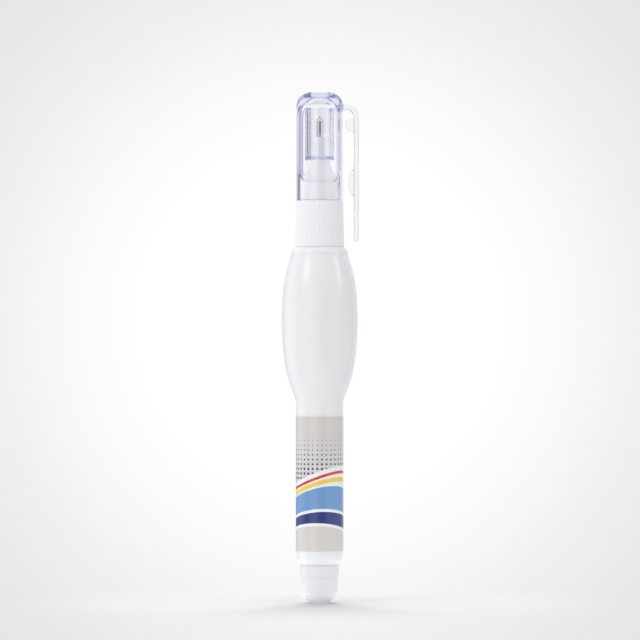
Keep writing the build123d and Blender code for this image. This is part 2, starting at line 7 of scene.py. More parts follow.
import bmesh
import bpy
import numpy as np
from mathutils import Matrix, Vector


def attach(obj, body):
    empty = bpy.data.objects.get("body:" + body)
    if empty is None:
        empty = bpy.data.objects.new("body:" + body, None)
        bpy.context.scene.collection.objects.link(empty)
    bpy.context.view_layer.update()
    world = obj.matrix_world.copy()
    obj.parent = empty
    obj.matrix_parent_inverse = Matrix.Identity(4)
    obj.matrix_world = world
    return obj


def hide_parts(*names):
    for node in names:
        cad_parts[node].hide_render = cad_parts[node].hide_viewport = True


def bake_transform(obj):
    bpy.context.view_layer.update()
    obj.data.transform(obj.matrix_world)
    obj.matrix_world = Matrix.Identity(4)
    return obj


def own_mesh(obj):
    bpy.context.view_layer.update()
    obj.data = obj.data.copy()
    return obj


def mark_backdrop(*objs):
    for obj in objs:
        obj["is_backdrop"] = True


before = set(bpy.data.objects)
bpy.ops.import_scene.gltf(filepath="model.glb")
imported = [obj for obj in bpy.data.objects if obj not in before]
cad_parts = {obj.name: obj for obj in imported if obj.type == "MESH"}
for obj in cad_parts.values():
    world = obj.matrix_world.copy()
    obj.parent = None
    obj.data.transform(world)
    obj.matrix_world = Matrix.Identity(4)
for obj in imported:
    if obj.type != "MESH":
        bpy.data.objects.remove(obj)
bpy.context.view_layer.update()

MM = 0.001

# Levels along the axis and radii that more than one piece shares
SEAM_Z = 10.5
LABEL_Z = (14.4, 51.12)
SHOULDER_Z = 97.6
FLANGE_TOP_Z = 106.6
COLLAR_TOP_Z = 110.2
RIM_Z = 110.25
SPIGOT_TOP_Z = 115.4
NOZZLE_TOP_Z = 127.7
CAP_TOP_Z = 140.0
BARREL_R = 6.45
LABEL_R = (6.47, 6.55)

# A rounded corner's points: its arc, and a guard on each side at so many times the touching point's distance
ARC_STEPS = 6
PER_CORNER = ARC_STEPS + 2
GUARD = 1.3

# Points nearer than this, in metres, are merged, and edges that turn by more than this stay sharp
MERGE = 2e-7
SHARP = np.radians(38)

# The height of the finest grain in metres, and the tint of a thin clear skin
GRAIN_HEIGHT = 0.00002
CLEAR_TINT = (0.997, 0.997, 1.0)


# Surfaces


def rounded(points, radii, steps=ARC_STEPS):
    """A closed profile with rounded corners: each corner is cut back to where a circle of its radius touches both
    sides, the circle's arc runs between the two touching points, and one guard point lies on each side of the arc."""
    corner = np.asarray(points, float)
    radius = np.asarray(radii, float)[:, None]
    back = np.roll(corner, 1, axis=0) - corner
    ahead = np.roll(corner, -1, axis=0) - corner
    back /= np.linalg.norm(back, axis=1, keepdims=True)
    ahead /= np.linalg.norm(ahead, axis=1, keepdims=True)
    half = np.arccos(np.clip((back * ahead).sum(1, keepdims=True), -1, 1)) / 2
    reach = radius / np.tan(half)
    middle = (back + ahead) / np.maximum(np.linalg.norm(back + ahead, axis=1, keepdims=True), 1e-9)
    centre = corner + middle * radius / np.sin(half)
    first = corner + back * reach - centre
    last = corner + ahead * reach - centre
    turn = np.maximum(np.pi - 2 * half, 1e-6)[:, None]
    share = np.linspace(0, 1, steps)[None, :, None]
    bend = np.sin((1 - share) * turn) * first[:, None] + np.sin(share * turn) * last[:, None]
    bend = centre[:, None] + bend / np.sin(turn)
    guards = [(corner + side * reach * GUARD)[:, None] for side in (back, ahead)]
    return np.concatenate([guards[0], bend, guards[1]], axis=1).reshape(-1, 2)


def arc(centre, radius, start, end, steps):
    """Points of a circle: centre plus radius times (cos, sin) of angles that run evenly from start to end, in
    degrees."""
    angle = np.radians(np.linspace(start, end, steps))
    return np.stack([centre[0] + radius * np.cos(angle), centre[1] + radius * np.sin(angle)], axis=1)


def eased(value):
    """0 to 1 with level ends: three times the square of the value less twice its cube."""
    value = np.clip(value, 0, 1)
    return value * value * (3 - 2 * value)


def carried_round(radius, height):
    """A grid of points: radius and height, one row for each step round the axis, turned to that step's angle."""
    angle = np.linspace(0, 2 * np.pi, len(radius), endpoint=False)[:, None]
    return np.stack([radius * np.cos(angle), radius * np.sin(angle), height], axis=-1)


def turned(profile, sides):
    """A body of revolution: the same profile of (radius, height) points at every step round the axis."""
    profile = np.asarray(profile, float)
    return carried_round(np.tile(profile[:, 0], (sides, 1)), np.tile(profile[:, 1], (sides, 1)))


def skin(name, grid, round_rows=True, round_columns=True):
    """A closed mesh over a grid of points: each cell is one quad, joined round in both directions where asked. Open
    rows end in a flat face each, and points that coincide are merged, which closes the poles."""
    rows, columns = grid.shape[:2]
    index = np.arange(rows * columns).reshape(rows, columns)
    below = index if round_rows else index[:-1]
    above = np.roll(index, -1, axis=0) if round_rows else index[1:]
    if round_columns:
        below_next, above_next = np.roll(below, -1, axis=1), np.roll(above, -1, axis=1)
    else:
        below_next, above_next = below[:, 1:], above[:, 1:]
        below, above = below[:, :-1], above[:, :-1]
    faces = np.stack([below, below_next, above_next, above], axis=-1).reshape(-1, 4).tolist()
    if not round_rows:
        faces += [index[0].tolist(), index[-1].tolist()]
    mesh = bpy.data.meshes.new(name)
    mesh.from_pydata((grid.reshape(-1, 3) * MM).tolist(), [], faces)
    work = bmesh.new()
    work.from_mesh(mesh)
    bmesh.ops.remove_doubles(work, verts=work.verts, dist=MERGE)
    bmesh.ops.recalc_face_normals(work, faces=work.faces)
    work.to_mesh(mesh)
    work.free()
    mesh.shade_smooth()
    mesh.set_sharp_from_angle(angle=SHARP)
    piece = bpy.data.objects.new(name, mesh)
    bpy.context.scene.collection.objects.link(piece)
    return piece


def dress(piece, material, node, body=None):
    """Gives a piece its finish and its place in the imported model: the node that it stands for and the body it rides."""
    piece.data.materials.append(material)
    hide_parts(node)
    if body:
        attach(piece, body)
    return piece


# Shader nodes


class Tree:
    """Short ways to add and link shader nodes in one tree."""

    def __init__(self, tree):
        self.tree = tree

    def feed(self, node, inputs):
        """Sets a node's inputs to values, or links them where sockets are given."""
        for key, value in inputs.items():
            if isinstance(value, bpy.types.NodeSocket):
                self.tree.links.new(value, node.inputs[key])
            else:
                node.inputs[key].default_value = value

    def add(self, kind, inputs=None, **settings):
        """Adds a node, sets its properties, and sets or links its inputs."""
        node = self.tree.nodes.new(kind)
        for name, value in settings.items():
            setattr(node, name, value)
        self.feed(node, inputs or {})
        return node

    def maths(self, operation, *values):
        """The result of one Math node."""
        return self.add("ShaderNodeMath", dict(enumerate(values)), operation=operation).outputs[0]

    def remap(self, value, low, high, to_low, to_high):
        """A value taken smoothly from one range to another."""
        inputs = {"Value": value, "From Min": low, "From Max": high, "To Min": to_low, "To Max": to_high}
        return self.add("ShaderNodeMapRange", inputs, interpolation_type="SMOOTHSTEP").outputs["Result"]

    def mix(self, factor, first, second, blend="MIX"):
        """Two colours mixed by a factor."""
        inputs = {0: factor, 6: first, 7: second}
        return self.add("ShaderNodeMix", inputs, data_type="RGBA", blend_type=blend).outputs[2]

    def either(self, factor, first, second):
        """Two shaders mixed by a factor."""
        return self.add("ShaderNodeMixShader", {0: factor, 1: first, 2: second}).outputs[0]

    def ramp(self, value, stops):
        """The colour of a ramp through stops, each a place and a colour."""
        node = self.add("ShaderNodeValToRGB", {0: value})
        elements = node.color_ramp.elements
        for place, _ in stops[2:]:
            elements.new(place)
        for element, (place, tone) in zip(elements, stops):
            element.position, element.color = place, (*tone, 1)
        return node.outputs["Color"]

    def noise(self, vector, scale, detail=2.0, roughness=0.5):
        """The value of a noise texture."""
        inputs = {"Vector": vector, "Scale": scale, "Detail": detail, "Roughness": roughness}
        return self.add("ShaderNodeTexNoise", inputs).outputs["Fac"]

    def bump(self, height, strength):
        """The normal of a skin with a fine grain."""
        inputs = {"Height": height, "Strength": strength, "Distance": GRAIN_HEIGHT}
        return self.add("ShaderNodeBump", inputs).outputs["Normal"]

    def coordinates(self, scale=(1, 1, 1)):
        """The piece's Object coordinates, stretched."""
        place = self.add("ShaderNodeTexCoord").outputs["Object"]
        return self.add("ShaderNodeMapping", {"Vector": place, "Scale": scale}).outputs["Vector"]

    def parts(self, vector):
        """The three parts of a vector."""
        return self.add("ShaderNodeSeparateXYZ", {0: vector}).outputs

    def length(self, vector):
        """The length of a vector."""
        return self.add("ShaderNodeVectorMath", {0: vector}, operation="LENGTH").outputs["Value"]


def group(name, inputs, outputs):
    """A new shader node group with named sockets: its tree, and its input and output nodes."""
    made = bpy.data.node_groups.new(name, "ShaderNodeTree")
    for label, kind in inputs.items():
        made.interface.new_socket(label, in_out="INPUT", socket_type="NodeSocket" + kind)
    for label, kind in outputs.items():
        made.interface.new_socket(label, in_out="OUTPUT", socket_type="NodeSocket" + kind)
    tree = Tree(made)
    return tree, tree.add("NodeGroupInput"), tree.add("NodeGroupOutput")


def finish(name, sockets):
    """A new material with one Principled shader whose plain sockets are set: its tree, shader and material."""
    material = bpy.data.materials.new(name)
    material.use_nodes = True
    tree = Tree(material.node_tree)
    shader = material.node_tree.nodes["Principled BSDF"]
    tree.feed(shader, sockets)
    return tree, shader, material


def moulded_skin():
    """Moulded plastic: the tone drifts slowly over the skin and in faint lengthwise flow streaks, and a fine grain
    changes the roughness and the height."""
    tree, given, result = group(
        "moulded_skin",
        {"Tone": "Color", "Drift": "Float", "Gloss": "Float", "Grain": "Float"},
        {"Color": "Color", "Roughness": "Float", "Height": "Float"},
    )
    slow = tree.noise(tree.coordinates(), 90.0, 3.0)
    streak = tree.noise(tree.coordinates((1, 1, 0.06)), 900.0, 2.0)
    fine = tree.noise(tree.coordinates(), given.outputs["Grain"], 3.0, 0.6)
    drift = tree.maths("ADD", tree.maths("MULTIPLY", slow, 0.6), tree.maths("MULTIPLY", streak, 0.4))
    swing = tree.maths("MULTIPLY", tree.maths("SUBTRACT", drift, 0.5), given.outputs["Drift"])
    level = tree.maths("ADD", 1.0, swing)
    shade = tree.add("ShaderNodeCombineColor", {0: level, 1: level, 2: level}).outputs[0]
    colour = tree.mix(1.0, given.outputs["Tone"], shade, "MULTIPLY")
    dulled = tree.maths("MULTIPLY", tree.maths("SUBTRACT", fine, 0.5), 0.16)
    rough = tree.maths("ADD", given.outputs["Gloss"], dulled)
    tree.feed(result, {"Color": colour, "Roughness": rough, "Height": fine})
    return tree.tree


MOULDED = moulded_skin()


def moulded_plastic(name, tone, drift, gloss, grain, bump, spread=1.0):
    """Moulded plastic or rubber from the shared skin, with its grain as a fine bump, and light that spreads under the
    skin over so many millimetres."""
    under = {"Subsurface Weight": 0.5, "Subsurface Radius": (1, 1, 1), "Subsurface Scale": spread * MM}
    tree, shader, material = finish(name, {"IOR": 1.5, "Specular IOR Level": 0.5, **under})
    values = {"Tone": (*tone, 1), "Drift": drift, "Gloss": gloss, "Grain": grain}
    moulded = tree.add("ShaderNodeGroup", values, node_tree=MOULDED).outputs
    normal = tree.bump(moulded["Height"], bump)
    tree.feed(shader, {"Base Color": moulded["Color"], "Roughness": moulded["Roughness"], "Normal": normal})
    return material


def clear_plastic(name, bends, shade_tint, absorbs, density, plain=0.0, edge=0.0, root=0.0):
    """Clear tinted plastic: a glass that lamps shine through, with a tint that deepens with its thickness. A share of
    it lets light straight through with a shade tint, a painted shade that stands in for the dark of light lost in
    reflections: all of it after a few reflections inside, a plain share everywhere, a share that grows to edge where
    the skin slants, which paints darker edges, and root on the cap's wall at the clip's root, which paints shade at
    that joint."""
    sockets = {"Base Color": (*CLEAR_TINT, 1), "Transmission Weight": 1.0, "IOR": bends, "Roughness": 0.01}
    tree, shader, material = finish(name, sockets)
    output = material.node_tree.nodes["Material Output"]
    paths = tree.add("ShaderNodeLightPath").outputs
    clear = tree.add("ShaderNodeBsdfTransparent", {"Color": (*CLEAR_TINT, 1)}).outputs[0]
    shade_pass = tree.add("ShaderNodeBsdfTransparent", {"Color": (*shade_tint, 1)}).outputs[0]
    held = tree.maths("MAXIMUM", tree.maths("GREATER_THAN", paths["Glossy Depth"], 2.5), plain)
    # Painted shade: the shade tint darkens the skin where it slants, along its edges
    if edge:
        slant = tree.add("ShaderNodeLayerWeight", {"Blend": 0.5}).outputs["Facing"]
        held = tree.maths("MAXIMUM", held, tree.remap(slant, 0.08, 0.5, 0, edge))
    # Painted shade on the cap's wall where the clip's root joins it
    if root:
        root_z = 135.9
        across, _, up = tree.parts(tree.coordinates((1 / MM, 1 / MM, 1 / MM)))
        off = tree.maths("ABSOLUTE", tree.maths("SUBTRACT", up, root_z))
        root_shade = tree.maths("MULTIPLY", tree.remap(off, 0.5, 1.0, root, 0), tree.remap(across, 4.9, 5.5, 0, 1))
        held = tree.maths("MAXIMUM", held, root_shade)
    glass = tree.either(held, shader.outputs[0], shade_pass)
    depth = tree.add("ShaderNodeVolumeAbsorption", {"Color": (*absorbs, 1), "Density": density}).outputs[0]
    tree.feed(output, {"Surface": tree.either(paths["Is Shadow Ray"], glass, clear), "Volume": depth})
    return material


def turned_metal(name, tone, gloss, ring_scale, bump):
    """Turned metal: fine rings along the axis, which change the tone, the roughness and the height."""
    tree, shader, material = finish(name, {"Metallic": 1.0})
    rings = tree.noise(tree.coordinates((0.02, 0.02, 1)), ring_scale, 2.0, 0.7)
    darker = [level * 0.92 for level in tone]
    colour = tree.mix(tree.remap(rings, 0.3, 0.7, 0, 1), (*darker, 1), (*tone, 1))
    rough = tree.remap(rings, 0.25, 0.75, gloss * 0.75, gloss * 1.35)
    tree.feed(shader, {"Base Color": colour, "Roughness": rough, "Normal": tree.bump(rings, bump)})
    return material


def label_print():
    """Printed film. The label's own map gives millimetres round the barrel and up it. Bands in navy, blue, yellow and
    red run round the tube on cream film; each edge is a height plus a sine of the way round. Rows of dots stand above
    them."""
    tree, shader, material = finish("label_print", {"IOR": 1.5, "Coat Weight": 0.25, "Coat Roughness": 0.12})
    across, up, _ = tree.parts(tree.add("ShaderNodeUVMap", uv_map="film").outputs[0])
    paper = tree.noise(tree.coordinates(), 1500.0, 3.0)
    cream = tree.mix(paper, (0.645, 0.625, 0.602, 1), (0.665, 0.645, 0.622, 1))
    white, red, yellow = (0.86, 0.875, 0.89), (0.62, 0.05, 0.06), (0.85, 0.62, 0.09)
    blue, navy, dot_navy = (0.165, 0.33, 0.62), (0.03, 0.05, 0.2), (0.045, 0.07, 0.19)

    def below(height, swing, phase):
        """1 under a wave round the tube."""
        wave = tree.maths("SINE", tree.maths("MULTIPLY_ADD", across, 1 / LABEL_R[1], phase))
        return tree.maths("LESS_THAN", up, tree.maths("MULTIPLY_ADD", wave, swing, height))

    def from_middle(way):
        """How far a place is from the middle of its dot's cell; whole cells are added to keep it above 0."""
        cell = tree.maths("MODULO", tree.maths("ADD", way, 40 * pitch), pitch)
        return tree.maths("SUBTRACT", cell, pitch / 2)

    # Dots on a square pitch that fits the way round, smaller towards the top
    dots_round = 32
    pitch = 2 * np.pi * LABEL_R[1] / dots_round
    offsets = [from_middle(way) for way in (across, up)]
    from_dot = tree.maths("SQRT", tree.maths("ADD", *[tree.maths("MULTIPLY", way, way) for way in offsets]))
    dots = tree.maths("LESS_THAN", from_dot, tree.remap(up, 17.0, 33.0, 0.42, 0.1))
    dots = tree.maths("MULTIPLY", dots, tree.maths("COMPARE", up, 12 * pitch, 12.5 * pitch))
    colour = tree.mix(dots, cream, (*dot_navy, 1))

    # Bands from the top down, each printed over the one above: height, swing, phase and ink of the upper edge
    bands = (
        (20.6, 2.6, 0.5, white), (19.4, 2.6, 0.5, red), (18.6, 2.6, 0.5, white),
        (17.7, 2.5, 0.7, yellow), (16.5, 2.5, 0.7, white), (15.4, 2.4, 1.0, blue),
        (9.6, 2.0, 1.4, white), (8.8, 2.0, 1.4, navy), (5.9, 1.8, 1.7, white),
    )
    for height, swing, phase, ink in bands:
        colour = tree.mix(below(height, swing, phase), colour, (*ink, 1))
    colour = tree.mix(below(5.1, 1.8, 1.7), colour, cream)

    rough = tree.remap(paper, 0.3, 0.7, 0.29, 0.33)
    tree.feed(shader, {"Base Color": colour, "Roughness": rough, "Normal": tree.bump(paper, 0.02)})
    return material


WHITE_BARREL = moulded_plastic("barrel_white", (0.84, 0.855, 0.87), 0.035, 0.24, 9000.0, 0.06)
WHITE_PLUG = moulded_plastic("plug_white", (0.765, 0.78, 0.8), 0.03, 0.32, 8000.0, 0.1)
WHITE_COLLAR = moulded_plastic("collar_white", (0.88, 0.9, 0.92), 0.03, 0.38, 9000.0, 0.15, spread=0.8)
WHITE_NOZZLE = moulded_plastic("nozzle_white", (0.79, 0.8, 0.82), 0.04, 0.4, 9000.0, 0.15, spread=0.2)
NATURAL_VALVE = moulded_plastic("valve_natural", (0.7, 0.7, 0.67), 0.06, 0.5, 7000.0, 0.2)
BLACK_RUBBER = moulded_plastic("gasket_black", (0.02, 0.02, 0.022), 0.3, 0.7, 6000.0, 0.4)
TIP_METAL = turned_metal("tip_bright", (0.95, 0.95, 0.96), 0.08, 9000.0, 0.05)
WIRE_METAL = turned_metal("wire_drawn", (0.55, 0.55, 0.57), 0.3, 6000.0, 0.2)
BALL_METAL = turned_metal("ball_polished", (0.66, 0.66, 0.68), 0.12, 2500.0, 0.05)
# The second colour of each clear plastic is its shade tint, a painted shade for light lost in reflections
CLEAR_CAP = clear_plastic("cap_clear", 1.5, (0.68, 0.68, 0.84), (0.35, 0.38, 0.76), 20.0, root=0.9)
CLEAR_SLEEVE = clear_plastic("sleeve_clear", 1.42, (0.985, 0.985, 1.0), (0.2, 0.22, 0.7), 21.0, plain=0.08)
CLEAR_CLIP = clear_plastic("clip_clear", 1.5, (0.66, 0.66, 0.78), (0.35, 0.38, 0.85), 8.0, edge=0.65)
LABEL_PRINT = label_print()


# The pen's pieces


def bulb_radius(height):
    """The barrel's outer radius: a straight tube, a hollow blend of radius 8, and three arcs that swell and close
    again. Each arc's radius at a height is its centre's radius plus or minus the root of its own radius squared less
    the distance to its centre squared."""
    tube_end, blend_end, lower_end, middle_end = 54.024, 57.251, 67.5, 84.5
    blend = 14.45 - np.sqrt(np.maximum(8.0**2 - (height - tube_end) ** 2, 0))
    lower = -24.948 + np.sqrt(np.maximum(35.0576**2 - (height - 71.395) ** 2, 0))
    middle = -79.55 + np.sqrt(90.0**2 - (height - 77.5) ** 2)
    upper = -30.08 + np.sqrt(np.maximum(40.3797**2 - (height - 81.3594) ** 2, 0))
    bands = [height < tube_end, height < blend_end, height < lower_end, height < middle_end]
    return np.select(bands, [np.full_like(height, BARREL_R), blend, lower, middle], upper)


def barrel():
    """The squeeze barrel: foot, tube, bulb, shoulder and neck outside, and the bore a wall's depth inside."""
    wall, bore_r, foot_r, neck_r, neck_top_z, neck_foot_z = 1.0, 5.45, 6.27, 5.2, 104.6, 96.4
    foot = rounded(
        [(4.5, 18.0), (4.5, SEAM_Z), (bore_r, SEAM_Z), (bore_r, 10.8),
         (foot_r, 11.8), (foot_r, 13.7), (BARREL_R, 13.7), (BARREL_R, 14.6)],
        [0, 0.1, 0.12, 0.15, 0.9, 0.05, 0.05, 0],
    )
    height = np.concatenate([np.linspace(15, 53.5, 12), np.linspace(54.1, 95.1, 146)])
    skin_line = np.stack([bulb_radius(height), height], axis=1)
    land = [(7.79, 95.4), (7.79, 95.7)]
    shoulder = arc((6.19, 96.0), 1.6, 0, 90, 16)
    neck = rounded(
        [(6.0, SHOULDER_Z), (neck_r, SHOULDER_Z), (neck_r, 100.2), (5.45, 100.8), (neck_r, 101.4),
         (neck_r, neck_top_z), (4.2, neck_top_z), (4.2, neck_foot_z), (5.9, neck_foot_z)],
        [0, 0.1, 0.1, 0.1, 0.1, 0.1, 0.1, 0.2, 0],
    )
    inside = np.linspace(95.8, 55, 60)
    bore = np.stack([bulb_radius(inside) - wall, inside], axis=1)
    end = np.array([(bore_r, 53.0), (bore_r, 18.9)])
    profile = np.concatenate([foot, skin_line, land, shoulder, neck, bore, end])
    return skin("barrel_skin", turned(profile, 192))


def tail_plug():
    """The tail plug: flat end, dome, step, a spigot with two sealing ribs, and its hollow."""
    side_r, step_r, spigot_r, rib_r, hollow_r, hollow_z, top_z = 5.12, 5.38, 4.33, 4.48, 2.9, 2.2, 17.3
    dome = arc((0, 5.7628), 6.1, -70.87, -41.0, 20)
    side = rounded(
        [(4.65, 1.81), (side_r, 2.447), (side_r, 7.3), (step_r, 7.3), (step_r, SEAM_Z), (spigot_r, SEAM_Z),
         (spigot_r, 12.14), (rib_r, 12.14), (rib_r, 12.94), (spigot_r, 12.94),
         (spigot_r, 15.2), (rib_r, 15.2), (rib_r, 16.0), (spigot_r, 16.0),
         (spigot_r, top_z), (hollow_r, top_z), (hollow_r, hollow_z), (0.6, hollow_z)],
        [0, 1.2, 0.06, 0.1, 0.3, 0.05, 0.03, 0.06, 0.06, 0.03, 0.03, 0.06, 0.06, 0.03, 0.15, 0.15, 0.5, 0],
    )
    profile = np.concatenate([[(0, 0), (1.2, 0), (1.9, 0.0)], dome, side[PER_CORNER:], [(0, hollow_z)]])
    return skin("tail_plug_skin", turned(profile, 160), round_columns=False)


def label():
    """The label: a thin film bent round the tube, open along a narrow seam at the back. Its map holds millimetres: the
    angle from the front times the radius, and the height above its lower edge."""
    inner, outer = LABEL_R
    low, high = LABEL_Z
    section = rounded(
        [(inner, low), (outer, low), (outer, high), (inner, high)], [0.01, 0.03, 0.03, 0.01], steps=4,
    )
    seam = 0.3 / outer
    angle = np.linspace(seam - 1.5 * np.pi, np.pi / 2 - seam, 256)[:, None]
    radius, height = section[:, 0], section[:, 1] + 0 * angle
    grid = np.stack([radius * np.cos(angle), radius * np.sin(angle), height], axis=-1)
    piece = skin("label_film", grid, round_rows=False)
    mesh = piece.data
    place = np.zeros(len(mesh.vertices) * 3)
    mesh.vertices.foreach_get("co", place)
    corner = np.zeros(len(mesh.loops), int)
    mesh.loops.foreach_get("vertex_index", corner)
    x, y, z = (place.reshape(-1, 3) / MM)[corner].T
    film = mesh.uv_layers.new(name="film")
    film.data.foreach_set("uv", np.stack([np.arctan2(x, -y) * outer, z - low], axis=1).ravel())
    return piece


def grip_collar():
    """The ribbed collar: a profile turned round the axis, whose outer side sinks in 54 even grooves. A groove's depth
    falls off as a power of a cosine across its width, and fades out at the foot."""
    ribs, per_rib, depth, groove_share, groove_foot_z = 54, 14, 0.13, 0.62, 98.35
    spigot_r, throat_r, skirt_r = 5.24, 4.12, 5.22
    outside = np.concatenate([
        [(6.2, SHOULDER_Z), (6.45, 97.58), (6.66, 97.533), (6.7, 97.57)],
        np.stack([np.linspace(6.698, 6.455, 26), np.linspace(98.25, 110.02, 26)], axis=1),
        arc((6.3, 110.05), 0.15, 0, 90, 5),
    ])
    rest = rounded(
        [(6.0, COLLAR_TOP_Z), (spigot_r, COLLAR_TOP_Z), (spigot_r, SPIGOT_TOP_Z), (throat_r, SPIGOT_TOP_Z),
         (throat_r, FLANGE_TOP_Z), (skirt_r, FLANGE_TOP_Z), (skirt_r, 101.42), (5.47, 100.8), (skirt_r, 100.18),
         (skirt_r, SHOULDER_Z), (5.8, SHOULDER_Z)],
        [0, 0.08, 0.01, 0.1, 0.1, 0.1, 0.05, 0.05, 0.05, 0.1, 0],
    )
    profile = np.concatenate([outside, rest])
    across = np.arange(ribs * per_rib) / per_rib % 1 - 0.5
    groove = np.maximum(np.cos(np.pi * np.clip(across / groove_share, -0.5, 0.5)), 0) ** 1.3
    fades = eased((profile[:, 1] - groove_foot_z) / 0.5) * (np.arange(len(profile)) < len(outside))
    radius = profile[:, 0] - depth * groove[:, None] * fades[None]
    return skin("grip_collar_ribbed", carried_round(radius, np.tile(profile[:, 1], (len(across), 1))))


def nozzle():
    """The nozzle: plug, flange, body, a bell over the spigot's end, a round shoulder and a slender neck outside, and
    the stepped bore inside. The bell is a cubic curve: its four guide points weighted by the powers of the share of
    the way along and of what is left of it."""
    plug_r, flange_r, body_r, tip_bore_r, spring_bore_r, rear_bore_r = 4.18, 5.2, 4.1, 0.82, 2.0, 2.6
    plug_end_z, flange_z, bell_z, shoulder_z = 99.2, 105.4, 115.405, 122.05
    outside = rounded(
        [(3.2, plug_end_z), (plug_r, plug_end_z), (plug_r, flange_z), (flange_r, flange_z),
         (flange_r, FLANGE_TOP_Z), (body_r, FLANGE_TOP_Z), (body_r, bell_z), (5.225, bell_z)],
        [0.1, 0.3, 0.05, 0.15, 0.15, 0.05, 0.01, 0],
    )
    share = np.linspace(0, 1, 40)[:, None]
    left = 1 - share
    guide = np.array([(5.22, 115.42), (4.8, 116.9), (3.2, 118.6), (2.75, 120.6)])
    bell = left**3 * guide[0] + 3 * share * left**2 * guide[1] + 3 * share**2 * left * guide[2] + share**3 * guide[3]
    neck = rounded(
        [(2.7, 120.8), (2.42, shoulder_z), (1.48, shoulder_z), (1.25, NOZZLE_TOP_Z), (tip_bore_r, NOZZLE_TOP_Z),
         (tip_bore_r, 117.8), (spring_bore_r, 116.6), (spring_bore_r, 108.8), (rear_bore_r, 108.8),
         (rear_bore_r, 107.0), (3.2, 107.0)],
        [0, 0.5, 0.25, 0.12, 0.05, 0.1, 0.2, 0.05, 0.1, 0.1, 0.1],
    )
    return skin("nozzle_skin", turned(np.concatenate([outside, bell, neck]), 128))


def metal_tip():
    """The metal tip: shank, bright shaft with a fine turned groove, cone nose and the bore down to its seat."""
    shank_r, shaft_r, groove_r, bore_r, mouth_r, shank_z, end_z = 0.8, 1.03, 0.97, 0.5, 0.3, 122.7, 132.95
    profile = rounded(
        [(bore_r, shank_z), (shank_r, shank_z), (shank_r, NOZZLE_TOP_Z), (shaft_r, NOZZLE_TOP_Z), (shaft_r, 128.1),
         (groove_r, 128.2), (groove_r, 128.35), (shaft_r, 128.45), (shaft_r, 132.0),
         (0.45, end_z), (mouth_r, end_z), (mouth_r, 132.15), (bore_r, 131.8)],
        [0.03, 0.08, 0.03, 0.05, 0.04, 0.04, 0.04, 0.04, 0.15, 0.06, 0.03, 0.02, 0.02],
    )
    return skin("metal_tip_turned", turned(profile, 96))


def valve_needle():
    """The valve needle: a wire with a cone and a round point."""
    wire_r, point_r, end_z = 0.38, 0.25, 115.2
    end = [(0, end_z), (0.3, end_z), (wire_r, 115.3)]
    side = rounded([(wire_r, 115.6), (wire_r, 131.95), (point_r, 132.18), (point_r, 133.0)], [0, 0.05, 0.05, 0])
    point = arc((0, 133.1), point_r, 0, 90, 10)
    return skin("valve_needle_wire", turned(np.concatenate([end, side, point]), 64), round_columns=False)


